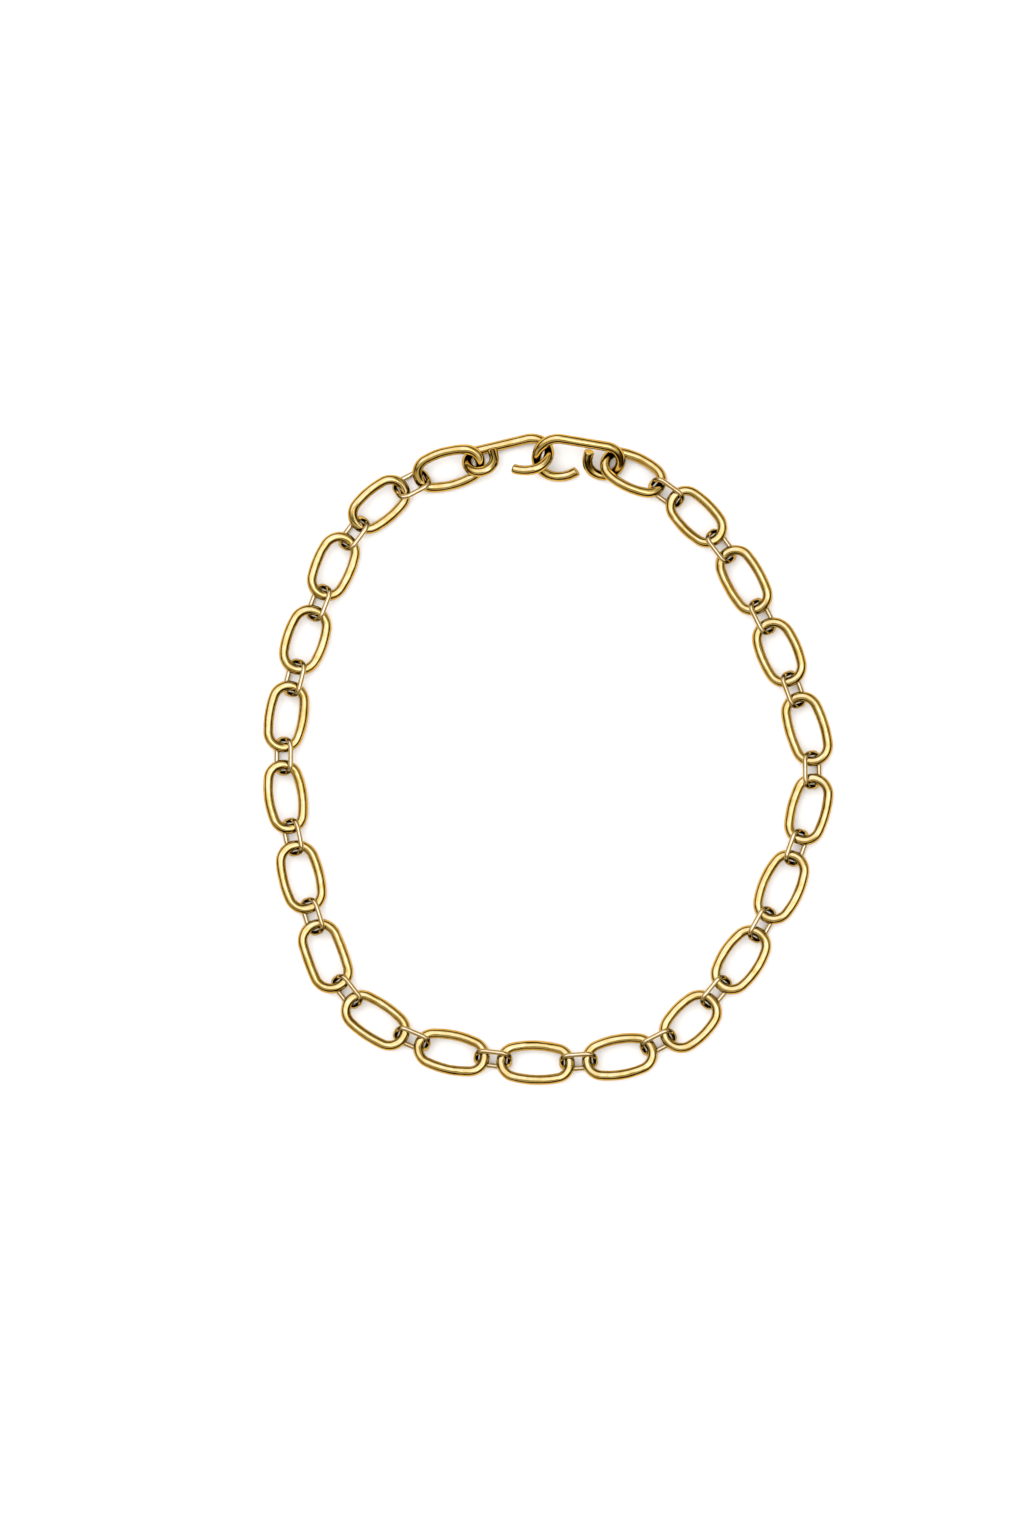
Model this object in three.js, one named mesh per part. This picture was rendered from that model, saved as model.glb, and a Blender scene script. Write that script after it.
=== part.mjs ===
// Chain necklace lying flat with its clasp closed: 21 large oval links, 20 thin connector rings between
// them and two wire hooks that catch each other. Millimetres, +Z up, X to the right, +Y towards the clasp.
import * as THREE from 'three';

const LINK_WIRE = 1.325; // radius of the wire of the large links and the hooks
const RING_WIRE = 0.65; // radius of the wire of the connector rings
const WIRE_SIDES = 8;
const ARC_STEPS = 10; // straight steps in each round end of a large link
const CORNER_STEPS = 4; // straight steps in each corner of a connector ring
const HOOK_STEPS = 6; // half the straight steps in each arc of a hook

const LINK_GAP = 1.6; // between the outer faces of neighbouring links
const RING = { halfLength: 4.28, halfWidth: 2.9, corner: 2.1 }; // of the wire's centre line
const RING_LEAN = 51; // degrees up from flat, its higher side towards the middle of the necklace
const REST_HEIGHT = RING_WIRE + RING.halfWidth * Math.sin(THREE.MathUtils.degToRad(RING_LEAN));

// Each link in order round the necklace, from the left hook past the front to the right hook: heading in
// degrees from +X, outer length and width, and in degrees its roll (plus lifts the side towards the
// middle) and its slope (plus climbs along the heading)
const LINKS = [
  { heading: 195, length: 18.9, width: 11.6, roll: -20.3, slope: -3.9 },
  { heading: 220, length: 17.8, width: 11.2, roll: -14 },
  { heading: 247, length: 18.2, width: 11.4, roll: -6 },
  { heading: 251, length: 18.3, width: 11.8, roll: -3 },
  { heading: 261, length: 18.4, width: 11.2, roll: -8 },
  { heading: 278, length: 19.0, width: 11.2, roll: -8 },
  { heading: 284, length: 19.0, width: 11.8, roll: -4 },
  { heading: 290, length: 19.5, width: 11.6, roll: -2 },
  { heading: 326, length: 19.1, width: 11.4, roll: -3 },
  { heading: 348, length: 19.6, width: 11.4, roll: -8 },
  { heading: 358, length: 20.0, width: 11.4, roll: -10 },
  { heading: 370, length: 19.4, width: 11.6, roll: -6 },
  { heading: 405, length: 17.9, width: 12.0, roll: -2 },
  { heading: 416, length: 19.1, width: 11.8, roll: -2 },
  { heading: 426, length: 19.7, width: 11.8, roll: -4 },
  { heading: 435, length: 18.6, width: 11.2, roll: -8 },
  { heading: 467, length: 19.4, width: 11.4, roll: -4 },
  { heading: 473, length: 18.4, width: 11.8, roll: -4 },
  { heading: 479, length: 19.0, width: 11.2, roll: -8 },
  { heading: 495, length: 17.9, width: 11.2, roll: 0 },
  { heading: 515, length: 17.9, width: 11.2, roll: 21.6, slope: 1.2 },
];
const FRONT = 10; // the front link: the chain is laid out both ways from it
const FRONT_PLACE = [-2.8, -77.2];
const RING_COUNT = LINKS.length - 1;
const END_LEANS = { first: 38, last: 180 - RING_LEAN }; // of the rings nearest the clasp, clear of the hooks

// The two hooks of the clasp. `place` is where the bar leaves the eye; the bar heads from there to the
// bend, and the eye, the bend and the returning tip lie on the side it opens to.
const HOOKS = {
  left: {
    heading: 13.5, slope: 0, roll: -33.6, place: [-17.36, 77.09, 1.43], openTo: 'right',
    eye: 3.5, eyeEnd: 1.7, eyeLift: -0.84, bar: 12.5, bend: 4.85, tipBend: 8, tipTurn: 38,
  },
  right: {
    heading: 171, slope: 6.1, roll: -30.8, place: [15.25, 77.94, 5.83], openTo: 'left',
    eye: 4.2, eyeEnd: 2.2, eyeLift: -0.07, bar: 11.6, bend: 5.4, tipBend: 7, tipTurn: 50,
  },
};

const GOLD = { color: 0xd9a93f, metalness: 1, roughness: 0.16 };
const RING_GOLD = { color: 0xe0bd6a, metalness: 1, roughness: 0.18 };

const radians = THREE.MathUtils.degToRad;

// Axes of a piece: along it, across it (plus to the left of its heading) and out of its own plane.
function axesOf(heading, roll = 0, slope = 0) {
  const turn = new THREE.Euler(radians(roll), radians(-slope), radians(heading), 'ZYX');
  const matrix = new THREE.Matrix4().makeRotationFromEuler(turn);
  const [along, across, out] = [0, 1, 2].map((k) => new THREE.Vector3().setFromMatrixColumn(matrix, k));
  return { along, across, out };
}

// A wire of WIRE_SIDES flat sides swept along an outline close to the XY plane, with one side turned to face
// `facet` degrees from the outline's outer side. An open outline gets flat, square-cut ends.
function wire(outline, radius, closed, facet = 0) {
  const points = outline.map((point) => point.clone());
  const count = points.length;
  const wrapped = (k) => (k + count) % count;
  const clamped = (k) => Math.min(Math.max(k, 0), count - 1);
  const neighbour = (k) => points[closed ? wrapped(k) : clamped(k)];
  const positions = [];
  points.forEach((point, k) => {
    const before = neighbour(k - 1);
    const after = neighbour(k + 1);
    const along = after.clone().sub(before).normalize();
    const side = new THREE.Vector2(along.y, -along.x);
    for (let s = 0; s < WIRE_SIDES; s++) {
      const angle = radians(facet) + ((s + 0.5) * 2 * Math.PI) / WIRE_SIDES;
      const out = radius * Math.cos(angle);
      const up = radius * Math.sin(angle);
      positions.push(point.x + side.x * out, point.y + side.y * out, point.z + up);
    }
  });
  const triangles = [];
  const stretches = closed ? count : count - 1;
  for (let k = 0; k < stretches; k++) {
    for (let s = 0; s < WIRE_SIDES; s++) {
      const here = k * WIRE_SIDES;
      const next = ((k + 1) % count) * WIRE_SIDES;
      const t = (s + 1) % WIRE_SIDES;
      triangles.push(here + s, next + s, here + t, here + t, next + s, next + t);
    }
  }
  if (!closed) {
    const last = (count - 1) * WIRE_SIDES;
    for (let s = 1; s < WIRE_SIDES - 1; s++) {
      triangles.push(0, s, s + 1);
      triangles.push(last, last + s + 1, last + s);
    }
  }
  const geometry = new THREE.BufferGeometry();
  geometry.setAttribute('position', new THREE.Float32BufferAttribute(positions, 3));
  geometry.setIndex(triangles);
  geometry.computeVertexNormals();
  return geometry;
}

// An oval with two half-round ends, as the large links have.
function roundEnded(halfLength, halfWidth) {
  const straight = halfLength - halfWidth;
  return [straight, -straight].flatMap((x, end) => {
    const from = (end - 0.5) * Math.PI;
    const arc = new THREE.EllipseCurve(x, 0, halfWidth, halfWidth, from, from + Math.PI);
    return arc.getPoints(ARC_STEPS).map(flat);
  });
}

// A rectangle with rounded corners, as the connector rings have.
function roundCornered({ halfLength, halfWidth, corner }) {
  const [x, y] = [halfLength - corner, halfWidth - corner];
  const centres = [[x, y], [-x, y], [-x, -y], [x, -y]];
  return centres.flatMap(([cx, cy], k) => {
    const from = (k * Math.PI) / 2;
    const arc = new THREE.EllipseCurve(cx, cy, corner, corner, from, from + Math.PI / 2);
    return arc.getPoints(CORNER_STEPS).map(flat);
  });
}

function flat({ x, y }) {
  return new THREE.Vector3(x, y, 0);
}

// A hook from the free end of its eye, round the eye, along the bar (y = 0) and round the J to its tip.
// The eye rises out of the hook's plane by eyeLift at its free end.
function hookOutline({ eye, eyeEnd, eyeLift, bar, bend, tipBend, tipTurn }) {
  const path = new THREE.Path();
  path.moveTo(eye, eyeEnd);
  path.lineTo(eye, eye);
  path.absarc(0, eye, eye, 0, 1.5 * Math.PI);
  path.lineTo(bar, 0);
  path.absarc(bar, bend, bend, -Math.PI / 2, Math.PI / 2);
  path.absarc(bar, 2 * bend - tipBend, tipBend, Math.PI / 2, Math.PI / 2 + radians(tipTurn));
  const eyeLength = eye - eyeEnd + 1.5 * Math.PI * eye;
  const all = path.getPoints(HOOK_STEPS);
  const points = all.filter((point, k) => k === 0 || point.distanceTo(all[k - 1]) > 0.01);
  let travelled = 0;
  return points.map((point, k) => {
    travelled += k > 0 ? point.distanceTo(points[k - 1]) : 0;
    return new THREE.Vector3(point.x, point.y, eyeLift * Math.max(0, 1 - travelled / eyeLength));
  });
}

// Where every link lies: its axes, its middle and the centres of its two round ends.
function layOutLinks() {
  const links = LINKS.map(({ heading, length, width, roll, slope }) => {
    const straight = (length - width) / 2;
    return { heading, straight, radius: width / 2 - LINK_WIRE, ...axesOf(heading, roll, slope) };
  });
  const reach = (a, b) => {
    const { along } = axesOf((a.heading + b.heading) / 2);
    return along.multiplyScalar(a.radius + b.radius + LINK_GAP + 2 * LINK_WIRE);
  };
  const put = (link, middle) => {
    link.middle = middle;
    link.start = middle.clone().addScaledVector(link.along, -link.straight);
    link.end = middle.clone().addScaledVector(link.along, link.straight);
  };
  put(links[FRONT], new THREE.Vector3(...FRONT_PLACE, REST_HEIGHT));
  for (let k = FRONT + 1; k < links.length; k++) {
    const start = links[k - 1].end.clone().add(reach(links[k - 1], links[k]));
    put(links[k], start.addScaledVector(links[k].along, links[k].straight));
  }
  for (let k = FRONT - 1; k >= 0; k--) {
    const end = links[k + 1].start.clone().sub(reach(links[k], links[k + 1]));
    put(links[k], end.addScaledVector(links[k].along, -links[k].straight));
  }
  return links;
}

// Where the connector ring between two links lies: across the two places where it rounds their end wires.
function layOutRing(before, after, lean) {
  const turn = radians((after.heading - before.heading) / 2);
  const first = before.end.clone();
  first.addScaledVector(before.along, before.radius * Math.cos(turn));
  first.addScaledVector(before.across, before.radius * Math.sin(turn));
  const second = after.start.clone();
  second.addScaledVector(after.along, -after.radius * Math.cos(turn));
  second.addScaledVector(after.across, after.radius * Math.sin(turn));
  const along = second.clone().sub(first).normalize();
  const inwards = new THREE.Vector3(0, 0, 1).cross(along).normalize();
  const upwards = along.clone().cross(inwards);
  const across = inwards.multiplyScalar(Math.cos(radians(lean)));
  across.addScaledVector(upwards, Math.sin(radians(lean)));
  return { middle: first.add(second).divideScalar(2), along, across, out: along.clone().cross(across) };
}

function piece(name, geometry, gold, { middle, along, across, out }) {
  const mesh = new THREE.Mesh(geometry, new THREE.MeshStandardMaterial(gold));
  mesh.name = name;
  mesh.quaternion.setFromRotationMatrix(new THREE.Matrix4().makeBasis(along, across, out));
  mesh.position.copy(middle);
  return mesh;
}

const numbered = (name, k) => `${name}_${String(k + 1).padStart(2, '0')}`;

function linkPiece(link, k) {
  const { length, width } = LINKS[k];
  const outline = roundEnded(length / 2 - LINK_WIRE, width / 2 - LINK_WIRE);
  return piece(numbered('link', k), wire(outline, LINK_WIRE, true), GOLD, link);
}

function leanOf(k) {
  if (k === 0) return END_LEANS.first;
  return k === RING_COUNT - 1 ? END_LEANS.last : RING_LEAN;
}

function ringPiece(k, before, after) {
  const lean = leanOf(k);
  const geometry = wire(roundCornered(RING), RING_WIRE, true, lean - 45);
  return piece(numbered('ring', k), geometry, RING_GOLD, layOutRing(before, after, lean));
}

function hookPiece(name, hook) {
  const axes = axesOf(hook.heading, hook.roll, hook.slope);
  if (hook.openTo === 'right') {
    axes.across.negate();
    axes.out.negate();
  }
  const middle = new THREE.Vector3(...hook.place);
  return piece(name, wire(hookOutline(hook), LINK_WIRE, false), GOLD, { middle, ...axes });
}

// Lays the group on the table with its outline's middle over the origin.
function settle(group) {
  const box = new THREE.Box3().setFromObject(group, true);
  const middle = box.getCenter(new THREE.Vector3());
  group.position.set(-middle.x, -middle.y, -box.min.z);
  return group;
}

const links = layOutLinks();
const necklace = new THREE.Group();
necklace.add(hookPiece('hook_left', HOOKS.left));
links.forEach((link, k) => necklace.add(linkPiece(link, k)));
links.slice(1).forEach((link, k) => necklace.add(ringPiece(k, links[k], link)));
necklace.add(hookPiece('hook_right', HOOKS.right));

export default settle(necklace);
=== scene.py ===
import math

import bpy
import numpy as np
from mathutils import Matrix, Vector


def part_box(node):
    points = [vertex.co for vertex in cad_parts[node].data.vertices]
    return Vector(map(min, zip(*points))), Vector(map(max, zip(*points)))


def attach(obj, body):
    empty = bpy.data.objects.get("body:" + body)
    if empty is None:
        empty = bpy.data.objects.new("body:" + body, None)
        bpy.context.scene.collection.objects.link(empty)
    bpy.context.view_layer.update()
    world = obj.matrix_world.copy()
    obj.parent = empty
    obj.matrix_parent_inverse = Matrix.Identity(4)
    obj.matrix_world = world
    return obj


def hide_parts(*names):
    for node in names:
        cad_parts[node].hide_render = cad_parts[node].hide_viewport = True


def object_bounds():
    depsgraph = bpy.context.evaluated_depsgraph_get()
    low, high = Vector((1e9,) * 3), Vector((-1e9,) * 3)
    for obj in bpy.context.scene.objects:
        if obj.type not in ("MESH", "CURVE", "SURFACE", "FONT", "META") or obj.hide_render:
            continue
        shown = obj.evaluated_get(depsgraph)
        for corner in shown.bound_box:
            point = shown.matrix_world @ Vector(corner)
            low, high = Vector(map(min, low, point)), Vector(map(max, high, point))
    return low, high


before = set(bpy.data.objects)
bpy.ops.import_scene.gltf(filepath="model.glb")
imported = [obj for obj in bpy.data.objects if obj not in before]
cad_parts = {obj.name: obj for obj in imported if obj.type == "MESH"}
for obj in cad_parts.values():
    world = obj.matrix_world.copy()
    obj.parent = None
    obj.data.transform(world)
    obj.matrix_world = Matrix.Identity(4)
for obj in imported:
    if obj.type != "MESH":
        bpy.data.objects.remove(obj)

cad_box = [list(corner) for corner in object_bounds()]

MM = 0.001
CAD_SIDES = 8                # round each wire of the CAD model
SIDES = 32                   # round the finished wire

# Wires
LINK_WIRE = 1.325 * MM       # radius, of the large links and the hooks
RING_WIRE = 0.65 * MM        # radius, of the connector rings
SLACK = 0.04 * MM            # the finished large wire is this much thinner, to stay inside the CAD model
RING_SLACK = SLACK / 2
STEP = 0.3 * MM              # along a large wire
RING_STEP = 0.2 * MM         # along a ring's wire
END_ROUNDING = 0.05          # of the radius, at a hook's cut ends

# Hand finish: dents as (count, depth, size, stretch along the wire), and the depth of slow waves
LINK_DENTS, LINK_FLATS = (22, 0.045 * MM, 1.2 * MM, 1.0), (5, 0.07 * MM, 0.9 * MM, 4.0)
HOOK_DENTS, HOOK_FLATS = (20, 0.045 * MM, 1.2 * MM, 1.0), (4, 0.07 * MM, 0.9 * MM, 4.0)
RING_DENTS = (8, 0.02 * MM, 0.7 * MM, 1.0)
LINK_WAVE = 0.006 * MM
RING_WAVE = 0.003 * MM
WAVES = 8                    # summed along one wire

# First random seed of each kind of piece
LINK_SEED, RING_SEED, HOOK_SEED = 100, 200, 300

# How far the middle of a large link's long side stands out. The rounder the sides, the narrower the ends
# and the less room for the rings that swing in them.
BOW = 0.35 * MM
BOWS = {"link_08": 0.12 * MM,
        **dict.fromkeys(["link_01", "link_06", "link_10", "link_11", "link_12", "link_14", "link_15",
                         "link_21"], 0.55 * MM)}

# The middle line of a ring's wire: half length, half width, corner radius
RING = (4.28 * MM, 2.9 * MM, 2.1 * MM)

# The two hooks, as the CAD model states them, in millimetres and degrees
HOOKS = {
    "hook_left": dict(heading=13.5, slope=0, roll=-33.6, side=-1, eye=3.5, eye_end=1.7, eye_lift=-0.84,
                      bar=12.5, bend=4.85, tip_bend=8, tip_turn=38),
    "hook_right": dict(heading=171, slope=6.1, roll=-30.8, side=1, eye=4.2, eye_end=2.2, eye_lift=-0.07,
                       bar=11.6, bend=5.4, tip_bend=7, tip_turn=50),
}

# Gold: (light tone, deep tone, roughness, strength of the file marks)
LINK_GOLD = ((0.97, 0.70, 0.23), (0.80, 0.50, 0.09), 0.02, 0.30)
RING_GOLD = ((0.97, 0.74, 0.34), (0.84, 0.58, 0.18), 0.03, 0.25)
WORN = 0.06                  # how much rougher the worn patches are
MARK_DEPTH = 0.03 * MM       # of the file marks
RIPPLE_DEPTH, RIPPLE = 0.04 * MM, 0.25     # of the finer hammering, and its strength

# Stage
PAPER = (0.93, 0.93, 0.93)
PAPER_SHADED_IN_REFLECTION = (0.58, 0.46, 0.24)     # painted shade: the paper as the metal mirrors it, darker and warmer than it is
PAPER_ROUGHNESS = 0.7
PAPER_HALF = 4.0             # half a side of the sheet, in metres
PAPER_DROP = 0.05 * MM       # below the object, so that the two never coincide
EVEN_LIGHT = 1.35            # on the paper, from all round
PANEL_PLACE, PANEL_SIZE, PANEL_POWER = (-0.5, 0.5, 1.9), (1.3, 1.1), 14
CAMERA_HEIGHT = 1.6
VIEW_HEIGHT = 0.3879         # of what the camera sees; it is 0.2586 wide
CAMERA_SHIFT = (-0.0091, -0.0022)     # from the middle of the object
SENSOR = 36.0

# The room that only the metal mirrors. Each list says how nearly towards its direction, how bright, and
# with which tint; the key and the fill are added, and the walls darken both near the horizon.
ROOM_LIGHT = 1.56            # the brightest that it mirrors
WARM = (1.3, 0.95, 0.35)
PLAIN = (1.0, 1.0, 1.0)
COOL = (0.76, 0.88, 1.72)
KEY_DIRECTION = (-0.25, 0.35, 0.90)
KEY_STOPS = [(0.0, 0.02, WARM), (0.24, 0.04, WARM), (0.30, 0.34, PLAIN), (0.53, 0.38, PLAIN),
             (0.57, 0.03, WARM), (0.66, 0.03, WARM), (0.70, 0.38, PLAIN), (0.845, 0.46, PLAIN),
             (0.87, 1.0, COOL)]
FILL_DIRECTION = (0.35, -0.10, 0.93)
FILL_STOPS = [(0.0, 0.0, PLAIN), (0.945, 0.0, PLAIN), (0.96, 0.85, COOL)]
WALL_STOPS = [(0.0, 0.04, WARM), (0.36, 0.05, WARM), (0.43, 0.85, PLAIN), (0.60, 1.0, PLAIN)]


# ---------------------------------------------------------------- outlines

def arc(cx, cy, radius, start, end, step=STEP):
    """Points on a circle's arc, from start to end in radians."""
    count = max(4, int(abs(end - start) * radius / step))
    turn = np.linspace(start, end, count + 1)
    return np.column_stack([cx + radius * np.cos(turn), cy + radius * np.sin(turn)])


def oval(half_length, half_width, corner):
    """A closed rectangle with rounded corners."""
    x, y = half_length - corner, half_width - corner
    centres = [(x, y), (-x, y), (-x, -y), (x, -y)]
    return np.vstack([arc(cx, cy, corner, k * math.pi / 2, (k + 1) * math.pi / 2)
                      for k, (cx, cy) in enumerate(centres)])


def bowed_oval(half_length, half_width, bow):
    """A closed oval of four arcs: its ends are round, and its long sides are slightly curved too."""
    end = half_width - bow
    x = half_length - end
    side = (x * x + half_width ** 2 - end ** 2) / (2 * bow)
    meet = math.atan2(side - half_width, x)
    return np.vstack([arc(x, 0, end, -meet, meet),
                      arc(0, half_width - side, side, meet, math.pi - meet),
                      arc(-x, 0, end, math.pi - meet, math.pi + meet),
                      arc(0, side - half_width, side, math.pi + meet, 2 * math.pi - meet)])


def hook_outline(h):
    """From the free end of the eye, round it, along the bar and round the bend to the tip."""
    eye, bend, bar, tip = (h[k] * MM for k in ("eye", "bend", "bar", "tip_bend"))
    half = math.pi / 2
    flat = np.vstack([[(eye, h["eye_end"] * MM)],
                      arc(0, eye, eye, 0, 3 * half),
                      arc(bar, bend, bend, -half, half),
                      arc(bar, 2 * bend - tip, tip, half, half + math.radians(h["tip_turn"]))])
    length = eye - h["eye_end"] * MM + 3 * half * eye
    travelled = distances(flat)
    lift = h["eye_lift"] * MM * np.clip(1 - travelled / length, 0, None)
    return np.column_stack([flat, lift])


def distances(points):
    """How far along the line each point lies."""
    steps = np.linalg.norm(np.diff(points, axis=0), axis=1)
    return np.concatenate([[0], np.cumsum(steps)])


def resampled(points, closed, step=STEP):
    """The same line with even steps."""
    if closed:
        points = np.vstack([points, points[:1]])
    travelled = distances(points)
    keep = np.concatenate([[True], np.diff(travelled) > 1e-9])
    points, travelled = points[keep], travelled[keep]
    count = int(round(travelled[-1] / step))
    at = np.linspace(0, travelled[-1], count + 1)
    if closed:
        at = at[:-1]
    return np.column_stack([np.interp(at, travelled, points[:, k]) for k in range(points.shape[1])])


# ---------------------------------------------------------------- wires

def sections(points, closed):
    """Unit vectors along a line that lies close to the XY plane, to its side, and up from it."""
    if closed:
        along = np.roll(points, -1, 0) - np.roll(points, 1, 0)
    else:
        along = np.gradient(points, axis=0)
    along /= np.linalg.norm(along, axis=1)[:, None]
    side = np.column_stack([along[:, 1], -along[:, 0], np.zeros(len(along))])
    side /= np.linalg.norm(side, axis=1)[:, None]
    return side, np.cross(side, along)


def hammered(rng, length, kind):
    """Shallow dents on a wire, each (place along it, place round it, depth, length, width)."""
    count, depth, size, stretch = kind
    dents = []
    for _ in range(count):
        width = size * rng.uniform(0.6, 1.3)
        dents.append((rng.uniform(0, length), rng.normal(math.pi / 2, 1.1), depth * rng.uniform(0.4, 1),
                      width * stretch, 0.7 * width))
    return dents


def wire_surface(points, radius, closed, rng, dents, wave):
    """The vertices of a hand-made round wire: even steps, never proud of its nominal radius."""
    side, up = sections(points, closed)
    count = len(points)
    step = np.linalg.norm(points[1] - points[0])
    length = step * (count if closed else count - 1)
    place = np.arange(count) * step
    angle = (np.arange(SIDES) + 0.5) * 2 * math.pi / SIDES
    s, a = np.meshgrid(place, angle, indexing="ij")
    loss = np.zeros_like(s)
    for turns in range(1, WAVES + 1):
        phase, lean = rng.uniform(0, 2 * math.pi, 2)
        lobes = int(rng.integers(0, 3))
        loss += wave / turns ** 0.6 * np.sin(2 * math.pi * turns * s / length + lobes * a + phase + lean)
    loss = loss - loss.min()
    for where, around, depth, long, wide in dents:
        ds = np.abs(s - where)
        if closed:
            ds = np.minimum(ds, length - ds)
        da = np.abs((a - around + math.pi) % (2 * math.pi) - math.pi) * radius
        loss += depth * np.exp(-((ds / long) ** 2 + (da / wide) ** 2) ** 1.5)
    r = radius - loss
    if not closed:
        from_end = np.minimum(s, length - s)
        r = r - END_ROUNDING * radius * np.clip(1 - from_end / (0.5 * step), 0, 1)
    verts = (points[:, None, :] + side[:, None, :] * (r * np.cos(a))[..., None]
             + up[:, None, :] * (r * np.sin(a))[..., None])
    return verts, length


def wire_mesh(name, verts, length, closed):
    """A mesh of the wire's surface, with a UV map of millimetres along it and turns round it."""
    count = len(verts)
    faces, uvs = [], []
    stretches = count if closed else count - 1
    for k in range(stretches):
        n = (k + 1) % count
        for j in range(SIDES):
            t = (j + 1) % SIDES
            faces.append((k * SIDES + j, n * SIDES + j, n * SIDES + t, k * SIDES + t))
            u0, u1 = k * length / stretches / MM, (k + 1) * length / stretches / MM
            v0, v1 = j / SIDES, (j + 1) / SIDES
            uvs += [(u0, v0), (u1, v0), (u1, v1), (u0, v1)]
    if not closed:
        faces.append(tuple(range(SIDES)))
        faces.append(tuple((count - 1) * SIDES + j for j in reversed(range(SIDES))))
        for j in range(2 * SIDES):
            uvs.append((math.cos(j), math.sin(j)))
    mesh = bpy.data.meshes.new(name)
    mesh.from_pydata(verts.reshape(-1, 3).tolist(), [], faces)
    layer = mesh.uv_layers.new(name="wire")
    layer.data.foreach_set("uv", np.array(uvs, dtype=np.float32).ravel())
    mesh.polygons.foreach_set("use_smooth", [len(f) == 4 for f in faces])
    mesh.update()
    piece = bpy.data.objects.new(name, mesh)
    bpy.context.scene.collection.objects.link(piece)
    return piece


# ---------------------------------------------------------------- places

def node_points(node):
    """The CAD piece's vertices, where they lie."""
    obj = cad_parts[node]
    flat = np.empty(len(obj.data.vertices) * 3)
    obj.data.vertices.foreach_get("co", flat)
    matrix = np.array(obj.matrix_world)
    return flat.reshape(-1, 3) @ matrix[:3, :3].T + matrix[:3, 3]


def axes_of(node):
    """Middle, long axis, wide axis and out-of-plane axis of a flat closed link, and its points in them."""
    points = node_points(node)
    middle = points.mean(0)
    _, _, axes = np.linalg.svd(points - middle, full_matrices=False)
    if axes[2][2] < 0:
        axes[2] *= -1
    axes[1] = np.cross(axes[2], axes[0])
    return middle, axes, (points - middle) @ axes.T


def hook_axes(h):
    """The directions of a hook's bar, of its open side and out of its plane."""
    heading, slope, roll = (math.radians(h[k]) for k in ("heading", "slope", "roll"))
    yaw = np.array([[math.cos(heading), -math.sin(heading), 0],
                    [math.sin(heading), math.cos(heading), 0],
                    [0, 0, 1]])
    pitch = np.array([[math.cos(slope), 0, -math.sin(slope)],
                      [0, 1, 0],
                      [math.sin(slope), 0, math.cos(slope)]])
    turn = np.array([[1, 0, 0],
                     [0, math.cos(roll), -math.sin(roll)],
                     [0, math.sin(roll), math.cos(roll)]])
    along, across, out = (yaw @ pitch @ turn).T
    return np.array([along, across * h["side"], out * h["side"]])


def finish_piece(node, piece, material):
    piece.data.materials.append(material)
    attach(piece, node)
    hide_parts(node)


def make_link(node, seed, material):
    middle, axes, local = axes_of(node)
    trim = LINK_WIRE * math.cos(math.pi / CAD_SIDES)
    half_length = local[:, 0].max() - trim
    half_width = local[:, 1].max() - trim
    rng = np.random.default_rng(seed)
    outline = resampled(bowed_oval(half_length, half_width, BOWS.get(node, BOW)), True)
    points = np.column_stack([outline, np.zeros(len(outline))])
    dents = hammered(rng, len(points) * STEP, LINK_DENTS) + hammered(rng, len(points) * STEP, LINK_FLATS)
    verts, length = wire_surface(points, LINK_WIRE - SLACK, True, rng, dents, LINK_WAVE)
    piece = wire_mesh(node + "_wire", middle + verts @ axes, length, True)
    finish_piece(node, piece, material)


def make_ring(node, seed, material):
    middle, axes, _ = axes_of(node)
    rng = np.random.default_rng(seed)
    outline = resampled(oval(*RING), True, RING_STEP)
    points = np.column_stack([outline, np.zeros(len(outline))])
    dents = hammered(rng, len(points) * RING_STEP, RING_DENTS)
    verts, length = wire_surface(points, RING_WIRE - RING_SLACK, True, rng, dents, RING_WAVE)
    piece = wire_mesh(node + "_wire", middle + verts @ axes, length, True)
    finish_piece(node, piece, material)


def make_hook(node, seed, material):
    h = HOOKS[node]
    axes = hook_axes(h)
    rng = np.random.default_rng(seed)
    points = resampled(hook_outline(h), False)
    dents = hammered(rng, len(points) * STEP, HOOK_DENTS) + hammered(rng, len(points) * STEP, HOOK_FLATS)
    verts, length = wire_surface(points, LINK_WIRE - SLACK, False, rng, dents, LINK_WAVE)
    placed = verts @ axes
    low, high = (np.array(corner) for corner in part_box(node))
    middle = (placed.reshape(-1, 3).max(0) + placed.reshape(-1, 3).min(0)) / 2
    piece = wire_mesh(node + "_wire", placed + (low + high) / 2 - middle, length, False)
    finish_piece(node, piece, material)


# ---------------------------------------------------------------- materials

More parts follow.
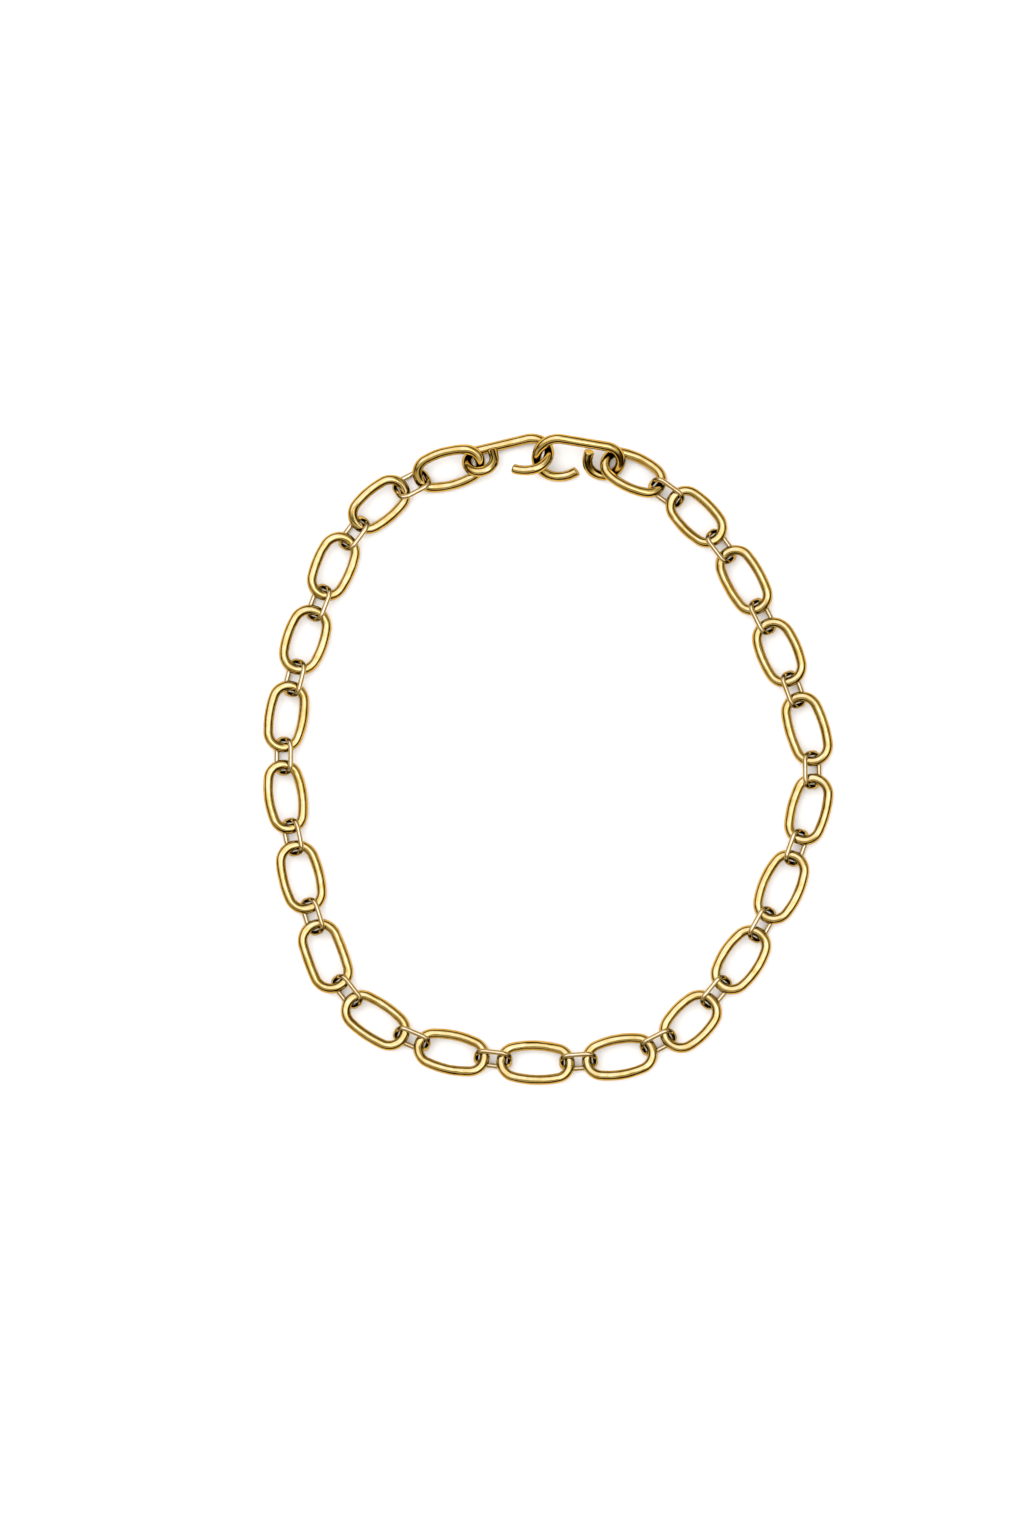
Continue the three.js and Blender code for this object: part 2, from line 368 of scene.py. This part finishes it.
def gold(name, light, deep, roughness, marks_strength):
    """Polished gold: two tones, worn patches of a rougher finish, fine file marks across the wire."""
    material = bpy.data.materials.new(name)
    material.use_nodes = True
    nodes, links = material.node_tree.nodes, material.node_tree.links
    shader = nodes["Principled BSDF"]
    shader.inputs["Metallic"].default_value = 1.0

    def add(kind, **values):
        node = nodes.new(kind)
        for key, value in values.items():
            if key in node.inputs:
                node.inputs[key].default_value = value
            else:
                setattr(node, key, value)
        return node

    place = add("ShaderNodeTexCoord")
    tone = add("ShaderNodeTexNoise", Scale=420.0, Detail=4.0, Roughness=0.6)
    links.new(place.outputs["Object"], tone.inputs["Vector"])
    mix = add("ShaderNodeMixRGB")
    mix.inputs["Color1"].default_value = (*light, 1)
    mix.inputs["Color2"].default_value = (*deep, 1)
    spread = add("ShaderNodeMapRange")
    spread.inputs["From Min"].default_value = 0.35
    spread.inputs["From Max"].default_value = 0.68
    links.new(tone.outputs["Fac"], spread.inputs["Value"])
    links.new(spread.outputs["Result"], mix.inputs["Fac"])
    links.new(mix.outputs["Color"], shader.inputs["Base Color"])

    worn = add("ShaderNodeTexNoise", Scale=260.0, Detail=3.0, Roughness=0.65)
    links.new(place.outputs["Object"], worn.inputs["Vector"])
    patch = add("ShaderNodeMapRange")
    limits = {"From Min": 0.42, "From Max": 0.66, "To Min": roughness, "To Max": roughness + WORN}
    for key, value in limits.items():
        patch.inputs[key].default_value = value
    links.new(worn.outputs["Fac"], patch.inputs["Value"])
    links.new(patch.outputs["Result"], shader.inputs["Roughness"])

    across = add("ShaderNodeMapping")
    across.inputs["Scale"].default_value = (9.0, 2.0, 1.0)
    links.new(place.outputs["UV"], across.inputs["Vector"])
    marks = add("ShaderNodeTexNoise", Scale=2.4, Detail=5.0, Roughness=0.75)
    links.new(across.outputs["Vector"], marks.inputs["Vector"])
    ripple = add("ShaderNodeTexNoise", Scale=900.0, Detail=2.0)
    links.new(place.outputs["Object"], ripple.inputs["Vector"])
    fine = add("ShaderNodeBump", Strength=marks_strength, Distance=MARK_DEPTH)
    links.new(marks.outputs["Fac"], fine.inputs["Height"])
    soft = add("ShaderNodeBump", Strength=RIPPLE, Distance=RIPPLE_DEPTH)
    links.new(ripple.outputs["Fac"], soft.inputs["Height"])
    links.new(fine.outputs["Normal"], soft.inputs["Normal"])
    links.new(soft.outputs["Normal"], shader.inputs["Normal"])
    return material


def plain(name, colour, roughness):
    material = bpy.data.materials.new(name)
    material.use_nodes = True
    shader = material.node_tree.nodes["Principled BSDF"]
    shader.inputs["Base Color"].default_value = (*colour, 1)
    shader.inputs["Roughness"].default_value = roughness
    return material


# ---------------------------------------------------------------- stage

def make_floor():
    """A sheet of pale paper with painted shade: the metal mirrors it in a darker, warmer colour than the
    camera sees.
    """
    corners = [(x * PAPER_HALF, y * PAPER_HALF, 0) for x, y in ((-1, -1), (1, -1), (1, 1), (-1, 1))]
    mesh = bpy.data.meshes.new("floor")
    mesh.from_pydata(corners, [], [(0, 1, 2, 3)])
    floor = bpy.data.objects.new("floor", mesh)
    floor.location.z = -PAPER_DROP
    bpy.context.scene.collection.objects.link(floor)
    paper = plain("paper", PAPER, PAPER_ROUGHNESS)
    nodes, links = paper.node_tree.nodes, paper.node_tree.links
    path = nodes.new("ShaderNodeLightPath")
    # painted shade: glossy rays see the paper in a darker, warmer colour than it has
    painted_reflection_shade = nodes.new("ShaderNodeMixRGB")
    painted_reflection_shade.inputs["Color1"].default_value = (*PAPER, 1)
    painted_reflection_shade.inputs["Color2"].default_value = (*PAPER_SHADED_IN_REFLECTION, 1)
    links.new(path.outputs["Is Glossy Ray"], painted_reflection_shade.inputs["Fac"])
    links.new(painted_reflection_shade.outputs["Color"], nodes["Principled BSDF"].inputs["Base Color"])
    mesh.materials.append(paper)


def area_light(name, place, towards, size, power):
    data = bpy.data.lights.new(name, "AREA")
    data.shape = "RECTANGLE"
    data.size, data.size_y = size
    data.energy = power
    light = bpy.data.objects.new(name, data)
    light.location = place
    aim = Vector(towards) - Vector(place)
    light.rotation_euler = aim.to_track_quat("-Z", "Y").to_euler()
    light.visible_glossy = False   # the metal mirrors the room's own bright panel instead
    bpy.context.scene.collection.objects.link(light)


def make_world():
    """A studio room: the paper is lit evenly from all round, and the metal mirrors a bright panel almost
    overhead, a small one beside it to the right, and dark walls low down. The background is pale."""
    world = bpy.data.worlds.new("studio")
    world.cycles.sampling_method = "NONE"
    bpy.context.scene.world = world
    world.use_nodes = True
    nodes, links = world.node_tree.nodes, world.node_tree.links
    place = nodes.new("ShaderNodeTexCoord")

    def ramp(value, stops):
        node = nodes.new("ShaderNodeValToRGB")
        elements = node.color_ramp.elements
        while len(elements) > 1:
            elements.remove(elements[-1])
        elements[0].position = stops[0][0]
        for position, _, _ in stops[1:]:
            elements.new(position)
        for element, (_, level, tint) in zip(elements, stops):
            element.color = (*(level * part for part in tint), 1)
        links.new(value, node.inputs["Fac"])
        return node.outputs["Color"]

    def towards(direction):
        node = nodes.new("ShaderNodeVectorMath")
        node.operation = "DOT_PRODUCT"
        length = math.sqrt(sum(c * c for c in direction))
        node.inputs[1].default_value = [c / length for c in direction]
        links.new(place.outputs["Generated"], node.inputs[0])
        return node.outputs["Value"]

    def combined(kind, first, second):
        node = nodes.new("ShaderNodeMix")
        node.data_type, node.blend_type = "RGBA", kind
        node.inputs["Factor"].default_value = 1.0
        links.new(first, node.inputs["A"])
        links.new(second, node.inputs["B"])
        return node.outputs["Result"]

    key = ramp(towards(KEY_DIRECTION), KEY_STOPS)
    fill = ramp(towards(FILL_DIRECTION), FILL_STOPS)
    walls = ramp(towards((0, 0, 1)), WALL_STOPS)
    room = combined("MULTIPLY", combined("ADD", key, fill), walls)

    def background(colour, strength):
        node = nodes.new("ShaderNodeBackground")
        if isinstance(colour, tuple):
            node.inputs["Color"].default_value = colour
        else:
            links.new(colour, node.inputs["Color"])
        node.inputs["Strength"].default_value = strength
        return node.outputs["Background"]

    path = nodes.new("ShaderNodeLightPath")
    mix = nodes.new("ShaderNodeMixShader")
    links.new(path.outputs["Is Glossy Ray"], mix.inputs["Fac"])
    links.new(background((1.0, 1.0, 1.0, 1), EVEN_LIGHT), mix.inputs[1])
    links.new(background(room, ROOM_LIGHT), mix.inputs[2])
    links.new(mix.outputs["Shader"], nodes["World Output"].inputs["Surface"])


def make_camera():
    """Straight above the table, far enough off for a flat view."""
    data = bpy.data.cameras.new("camera")
    data.sensor_fit = "VERTICAL"
    data.sensor_height = SENSOR
    data.lens = SENSOR * CAMERA_HEIGHT / VIEW_HEIGHT
    camera = bpy.data.objects.new("camera", data)
    low, high = (np.array(corner) for corner in cad_box)
    middle = (low + high) / 2
    camera.location = (middle[0] + CAMERA_SHIFT[0], middle[1] + CAMERA_SHIFT[1], CAMERA_HEIGHT)
    bpy.context.scene.collection.objects.link(camera)
    bpy.context.scene.camera = camera


make_camera()
make_world()
make_floor()
area_light("ceiling_panel", PANEL_PLACE, (0, 0, 0), PANEL_SIZE, PANEL_POWER)
bpy.context.scene.view_settings.view_transform = "Standard"
bpy.context.scene.cycles.glossy_bounces = 1   # gold mirrored in gold darkens instead of glowing

link_gold = gold("link_gold", *LINK_GOLD)
ring_gold = gold("ring_gold", *RING_GOLD)
for number, node in enumerate(sorted(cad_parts)):
    if node.startswith("link"):
        make_link(node, LINK_SEED + number, link_gold)
    elif node.startswith("ring"):
        make_ring(node, RING_SEED + number, ring_gold)
    else:
        make_hook(node, HOOK_SEED + number, link_gold)
